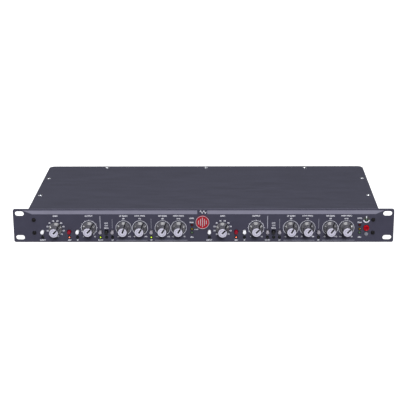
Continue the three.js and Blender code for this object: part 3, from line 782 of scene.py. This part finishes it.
def u_plan(inset, front):
    """A U open at the front: the outline outside, and the same drawn in by the inset inside."""
    outer, inner = plan(0, front), plan(inset, front)
    return outer[1:] + outer[:1] + inner[:1] + inner[:1:-1] + inner[1:2]


def raised(bm, z):
    """The shape, lifted by z."""
    bmesh.ops.translate(bm, vec=(0, 0, z), verts=bm.verts)
    return bm


lid_holes = [circle(x, y, 1.7, 24, True) for x, y in LID_SCREWS]
lid = raised(sheet(plan(0, CASE_FRONT), lid_holes, LID_THICK, 0.3, upright=False), LID_Z)
build("lid_sheet", lid, [CASE_PAINT], slot="case_paint", replaces=["top_cover"])

wall = sheet(u_plan(WALL, CASE_FRONT), [], WALL_TOP, 0.25, upright=False)
window = block(bmesh.new(), (-WINDOW_HALF, CASE_REAR - 5, WINDOW_LOW),
               (WINDOW_HALF, CASE_REAR + 5, WINDOW_HIGH))
build("tray_wall", cut(wall, window), [CASE_PAINT], slot="case_paint", replaces=["chassis_tray"])
floor_sheet = sheet(plan(WALL - 0.2, CASE_FRONT), [], WALL, 0.1, upright=False)
build("tray_floor", floor_sheet, [CASE_PAINT], slot="case_paint")
flange = sheet(u_plan(FLANGE, CASE_FRONT + 2), [], WALL, 0.1, upright=False)
build("tray_flange", raised(flange, WALL_TOP - WALL - 0.05), [CASE_PAINT], slot="case_paint")
for side in (-1, 1):
    ear = bmesh.new()
    low_x, high_x = sorted((side * EAR_INNER, side * (CASE_HALF - 0.3)))
    block(ear, (low_x, CASE_FRONT, 0.3), (high_x, CASE_FRONT + WALL, WALL_TOP - 0.3), 0.2)
    build(f"tray_ear_{'left' if side < 0 else 'right'}", ear, [CASE_PAINT], slot="case_paint")


def pan_head(radius, height):
    """Pan-head screw with a cross recess; its head stands on y = 0 and faces -Y."""
    bm = lathe(bmesh.new(), [
        (0, 0.2), (radius * 0.98, 0.2), (radius, -0.15 * height), (radius * 0.97, -0.45 * height),
        (radius * 0.86, -0.75 * height), (radius * 0.66, -0.93 * height), (radius * 0.4, -height),
        (0, -height)], 36)
    for wide, tall in ((1.0, 0.24), (0.24, 1.0)):
        arm = block(bmesh.new(), (-wide * radius * 0.55, -height - 1, -tall * radius * 0.55),
                    (wide * radius * 0.55, -height * 0.35, tall * radius * 0.55))
        bm = cut(bm, arm)
    return bm


UP = Matrix.Rotation(-TAU / 4, 4, "X")  # a screw that faces -Y turned to face +Z
BACK = Matrix.Rotation(TAU / 2, 4, "Z")  # a screw that faces -Y turned to face +Y
DOWN = Matrix.Rotation(TAU / 4, 4, "X")  # and to face -Z


def screw_set(name, radius, height, spots, facing, material, slot):
    """Equal pan-head screws as one piece, each turned a little further than the last."""
    head = mesh_of("head", pan_head(radius, height), [])
    head.transform(Matrix.Scale(1 / MM, 4))
    heads = bmesh.new()
    for i, spot in enumerate(spots, 1):
        turned = head.copy()
        turned.transform(Matrix.Translation(spot) @ facing @ Matrix.Rotation(i * 0.8, 4, "Y"))
        heads.from_mesh(turned)
        bpy.data.meshes.remove(turned)
    bpy.data.meshes.remove(head)
    build(name, heads, [material], slot=slot)


screw_set("lid_screws", 2.9, 1.25, [(x, y, LID_Z + LID_THICK) for x, y in LID_SCREWS], UP,
          BRIGHT_STEEL, "steel")
screw_set("floor_screws", 2.6, 0.3, [(x, y, 0.2) for x, y in FLOOR_SCREWS], DOWN, BRIGHT_STEEL,
          "steel")

# ------------------------------------------------------------------ rear panel

PLATE_FRONT, PLATE_REAR = reach("rear_panel")
plate_low, plate_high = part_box("rear_panel")
AXIS_Z = middle("mic_input_1")[1]
SOCKET_HOLES = {"mic_input": 12.1, "line_output": 12.1, "output_jack": 4.9}  # radii
inlet_x = middle("power_inlet")[0]
holes = [circle(middle(f"{kind}_{channel}")[0], AXIS_Z, radius, 48, True)
         for channel in CHANNELS for kind, radius in SOCKET_HOLES.items()]
holes.append(rounded(27.8, 20.2, 1.0, 3, inlet_x, AXIS_Z, clockwise=True))
plate_width = (plate_high.x - plate_low.x) / MM
plate_z = (plate_high.z + plate_low.z) / 2 / MM
plate = sheet(rounded(plate_width, (plate_high.z - plate_low.z) / MM, 1.0, 4, z=plate_z), holes,
              PLATE_REAR - PLATE_FRONT, 0.2)
build("rear_plate", plate, [PANEL_PAINT], at=(0, PLATE_FRONT, 0), slot="case_paint",
      replaces=["rear_panel"])

SEAT = PLATE_REAR + 0.3  # where the connector flanges sit
FLANGE_THICK = 2.0
JACK_START, JACK_BOTTOM = 176.0, 178.0  # the front of a jack's body, and the end of its bore
EARTH_X = 110
screw_set("rear_screws", 2.6, 1.2, [(x, CASE_REAR, z) for x in (-208.2, 208.2) for z in (12, 30)],
          BACK, BRIGHT_STEEL, "steel")
small_screws = []

PINS = [(-4.76, 0.0), (4.76, 0.0), (0.0, -4.76)]


def flange_plate(bore):
    """The flange of a three-pin socket."""
    return sheet(rounded(26, 31, 3, 6), [circle(0, 0, bore, 64, True)], FLANGE_THICK, 0.3)


face = FLANGE_THICK
for channel in CHANNELS:
    x, z = middle(f"mic_input_{channel}")
    shell = flange_plate(9.7)
    lathe(shell, [(9.7, face - 0.3), (9.7, face + 0.5), (9.9, face + 0.7), (10.8, face + 0.7),
                  (11.2, face + 0.4), (11.3, face - 0.1), (11.3, -20.0), (9.7, -20.0)], 64,
          closed=True)
    block(shell, (-3.5, face - 0.3, 10.9), (3.5, face + 1.3, 14.4), 0.4)
    build(f"mic_socket_shell_{channel}", shell, [BLACK_METAL], at=(x, SEAT, z), slot="black_shell",
          replaces=[f"mic_input_{channel}"])
    insert = lathe(bmesh.new(), [(0, -12.0), (9.6, -12.0), (9.6, -8.0), (7.9, -8.0),
                                 (7.9, face - 0.5), (7.6, face - 0.2), (0, face - 0.2)], 64)
    for px, pz in PINS:
        insert = cut(insert, lathe(bmesh.new(), [(0, -7.0), (1.4, -7.0), (1.4, 5), (0, 5)], 24,
                                   centre=(px, pz)))
    build(f"mic_socket_insert_{channel}", insert, [BLACK_SATIN], at=(x, SEAT, z),
          slot="black_plastic")
    contacts = bmesh.new()
    for px, pz in PINS:
        lathe(contacts, [(1.35, -6.9), (1.35, face - 0.7), (1.0, face - 0.7), (1.0, -6.9)], 24,
              centre=(px, pz), closed=True)
    build(f"mic_socket_contacts_{channel}", contacts, [GOLD], at=(x, SEAT, z), slot="steel")

    x, z = middle(f"line_output_{channel}")
    shell = flange_plate(9.5)
    lathe(shell, [(9.5, -12.0), (9.5, face + 0.3), (9.7, face + 0.5), (10.6, face + 0.5),
                  (11.0, face + 0.2), (11.1, face - 0.1), (11.1, -19.0), (0, -19.0), (0, -12.0)],
          64)
    block(shell, (-1.1, -11.5, 8.4), (1.1, face - 0.6, 9.7), 0.2)
    build(f"line_socket_shell_{channel}", shell, [BLACK_METAL], at=(x, SEAT, z), slot="black_shell",
          replaces=[f"line_output_{channel}"])
    pins = bmesh.new()
    for px, pz in PINS:
        lathe(pins, [(0, -12.5), (1.2, -12.5), (1.2, face - 2.9), (1.1, face - 2.4),
                     (0.8, face - 2.1), (0.4, face - 1.98), (0, face - 1.95)], 24,
              centre=(px, pz))
    build(f"line_socket_pins_{channel}", pins, [GOLD], at=(x, SEAT, z), slot="steel")
    for kind in ("mic_input", "line_output"):
        cx = middle(f"{kind}_{channel}")[0]
        small_screws += [(cx + side * 9.5, SEAT + FLANGE_THICK, z - side * 12.0)
                         for side in (-1, 1)]

    x, z = middle(f"output_jack_{channel}")
    jack_end = reach(f"output_jack_{channel}")[1]
    thread = [(3.25, JACK_BOTTOM), (3.25, jack_end - 0.5), (3.6, jack_end), (4.1, jack_end)]
    y = jack_end - 0.2
    while y > PLATE_REAR - 3:
        thread += [(4.4, y), (4.4, y - 0.2), (4.1, y - 0.4), (4.1, y - 0.5)]
        y -= 0.7
    thread += [(4.1, JACK_START), (0, JACK_START), (0, JACK_BOTTOM)]
    nose = lathe(bmesh.new(), thread, 40)
    block(nose, (-7, JACK_START - 0.1, -7), (7, PLATE_FRONT - 0.3, 7), 0.5)
    bore = [(0, JACK_BOTTOM), (3.2, JACK_BOTTOM), (3.2, 199.0), (0, 199.0)]
    nose = cut(nose, lathe(bmesh.new(), bore, 40))
    build(f"jack_body_{channel}", nose, [BLACK_SATIN], at=(x, 0, z), slot="black_plastic",
          replaces=[f"output_jack_{channel}"])
    nut = lathe(bmesh.new(), [(4.45, 0.3), (6.4, 0.3), (6.9, 0.7), (6.9, 2.0), (6.4, 2.4),
                              (4.45, 2.4)], 6, closed=True)
    lathe(nut, [(4.45, 0.0), (7.4, 0.0), (7.4, 0.35), (4.45, 0.35)], 48, closed=True)
    build(f"jack_nut_{channel}", nut, [NICKEL], 20, at=(x, PLATE_REAR, z), slot="steel", turn=12)

# mains inlet
face = 3.0
cavity = [(-12.1, -8.2), (-12.1, 3.6), (-7.6, 8.2), (7.6, 8.2), (12.1, 3.6), (12.1, -8.2)]
inlet = sheet(rounded(48, 24, 5, 6), [cavity], face, 0.35)
tube = sheet([(-13.6, -9.8), (13.6, -9.8), (13.6, 9.8), (-13.6, 9.8)], [cavity], 20.0, 0.1)
bmesh.ops.translate(tube, vec=(0, -18.5, 0), verts=tube.verts)
spare = bpy.data.meshes.new("inlet_tube")
tube.to_mesh(spare)
tube.free()
inlet.from_mesh(spare)
block(inlet, (-13.5, -20.5, -9.7), (13.5, -12.0, 9.7), 0.2)
build("inlet_body", inlet, [BLACK_SATIN], at=(inlet_x, SEAT, AXIS_Z), slot="black_plastic",
      replaces=["power_inlet"])
blades = bmesh.new()
for bx, bz in ((-7, -1), (7, -1), (0, 3)):
    block(blades, (bx - 1, -12.5, bz - 2), (bx + 1, face - 2, bz + 2), 0.35)
build("inlet_blades", blades, [NICKEL], at=(inlet_x, SEAT, AXIS_Z), slot="steel")
small_screws += [(inlet_x + dx, SEAT + 2.9, AXIS_Z) for dx in (-20, 20)]
screw_set("connector_screws", 2.0, 0.9, small_screws, BACK, BLACK_METAL, "black_shell")

# earth post: a hexagonal nut under a round one
post = lathe(bmesh.new(), [(0, 0), (5.0, 0), (5.4, 0.3), (5.4, 1.3), (5.0, 1.6), (0, 1.6)], 6)
lathe(post, [(0, 1.6), (3.9, 1.6), (4.2, 1.8), (4.2, 3.2), (3.9, 3.4), (2.0, 3.4), (1.9, 3.8),
             (0, 3.8)], 24)
build("earth_post", post, [NICKEL], 20, at=(EARTH_X, PLATE_REAR, AXIS_Z), slot="steel")

REAR_TEXT = 2.2  # letter height
rear_ink = bmesh.new()
for channel in CHANNELS:
    female = middle(f"mic_input_{channel}")[0]
    male = middle(f"line_output_{channel}")[0]
    jack = middle(f"output_jack_{channel}")[0]
    for text, tx, tz in (("MIC", female - 18.5, 22.8), ("IN", female - 18.5, 19.4),
                         (str(channel), (female + male) / 2, 21.0), ("LINE", jack, 34.2),
                         ("OUT", jack, 31.0)):
        write(rear_ink, text, tx, tz, REAR_TEXT, surface=PLATE_REAR, rear=True)
write(rear_ink, "MAINS", inlet_x - 35, AXIS_Z, REAR_TEXT, surface=PLATE_REAR, rear=True)
write(rear_ink, "EARTH", EARTH_X, AXIS_Z + 9, REAR_TEXT, surface=PLATE_REAR, rear=True)
build("rear_print", rear_ink, [WHITE_PRINT], tidy=False, slot="case_paint")

# ------------------------------------------------------------------ carried CAD nodes

CARRIED = {"main_board": BOARD, "control_board_1": BOARD, "control_board_2": BOARD,
           "power_switch": BOARD, "power_transformer": WINDING}
for channel in CHANNELS:
    CARRIED.update({f"{dial}_shaft_{channel}": NICKEL for dial in DIALS})
for node, material in CARRIED.items():
    frame["nodes"][node].data.materials.clear()
    frame["nodes"][node].data.materials.append(material)

# ------------------------------------------------------------------ floor, light and camera

FLOOR_GLOW, WORLD_LIGHT = 0.85, 0.2
KEY_POWER, KEY_ANGLE, KEY_FROM = 3.1, 14, Vector((0.1, -0.9, 0.5))
FOCAL_LENGTH = 103.87
CAMERA_TURN = (-1.036, 17.872, -0.366)  # yaw, downward pitch and roll, in degrees
CAMERA_SPOT = (32.4, -1441.39, 510.4)  # millimetres

ground_material = finish("floor_paper", (0.45, 0.45, 0.455), 0.8, grain=3, swing=0.01)
ground_shader = ground_material.node_tree.nodes["Principled BSDF"]
ground_shader.inputs["Emission Color"].default_value = (1.0, 1.0, 1.0, 1.0)
ground_shader.inputs["Emission Strength"].default_value = FLOOR_GLOW
bpy.ops.mesh.primitive_plane_add(size=14.0, location=(0, 2.0, -0.0002))
ground_plane = bpy.context.object
ground_plane.name = "studio_floor"
ground_plane.data.materials.append(ground_material)
ground_plane.visible_diffuse = False  # the panel gets no light from below

world = bpy.context.scene.world or bpy.data.worlds.new("studio")
bpy.context.scene.world = world
world.use_nodes = True
background = world.node_tree.nodes["Background"]
background.inputs["Color"].default_value = (1.0, 1.0, 1.0, 1.0)
background.inputs["Strength"].default_value = WORLD_LIGHT


def softbox(name, at, target, size, power):
    """A rectangular light of size metres that shines from one point towards another."""
    light = bpy.data.lights.new(name, "AREA")
    light.shape = "RECTANGLE"
    light.size, light.size_y = size
    light.energy = power
    lamp_object = bpy.data.objects.new(name, light)
    bpy.context.scene.collection.objects.link(lamp_object)
    lamp_object.location = at
    lamp_object.rotation_euler = (Vector(target) - Vector(at)).to_track_quat("-Z", "Y").to_euler()


softbox("overhead_softbox", (-0.05, -0.3, 1.15), (-0.05, -0.1, 0), (0.95, 0.75), 10)
for name, x in (("left_softbox", -2.0), ("right_softbox", 2.0)):
    softbox(name, (x, -0.2, 0.2), (0, -0.1, 0), (0.6, 0.5), 13)
key = bpy.data.lights.new("key_light", "SUN")
key.energy = KEY_POWER
key.angle = math.radians(KEY_ANGLE)
key_object = bpy.data.objects.new("key_light", key)
bpy.context.scene.collection.objects.link(key_object)
key_object.rotation_euler = KEY_FROM.to_track_quat("Z", "Y").to_euler()

camera_data = bpy.data.cameras.new("camera")
camera_data.sensor_width = 36.0
camera_data.lens = FOCAL_LENGTH
camera_data.clip_end = 30.0
camera = bpy.data.objects.new("camera", camera_data)
bpy.context.scene.collection.objects.link(camera)
yaw, pitch, roll = (math.radians(a) for a in CAMERA_TURN)
forward = Vector((math.sin(yaw) * math.cos(pitch), math.cos(yaw) * math.cos(pitch),
                  -math.sin(pitch)))
level = Vector((math.cos(yaw), -math.sin(yaw), 0))
upward = level.cross(forward)
right = math.cos(roll) * level + math.sin(roll) * upward
top = -math.sin(roll) * level + math.cos(roll) * upward
pose = Matrix((right, top, -forward)).transposed().to_4x4()
pose.translation = Vector(CAMERA_SPOT) * MM + Vector((0, FRONT_Y, 0))
camera.matrix_world = pose
bpy.context.scene.camera = camera
bpy.context.scene.view_settings.view_transform = "Standard"
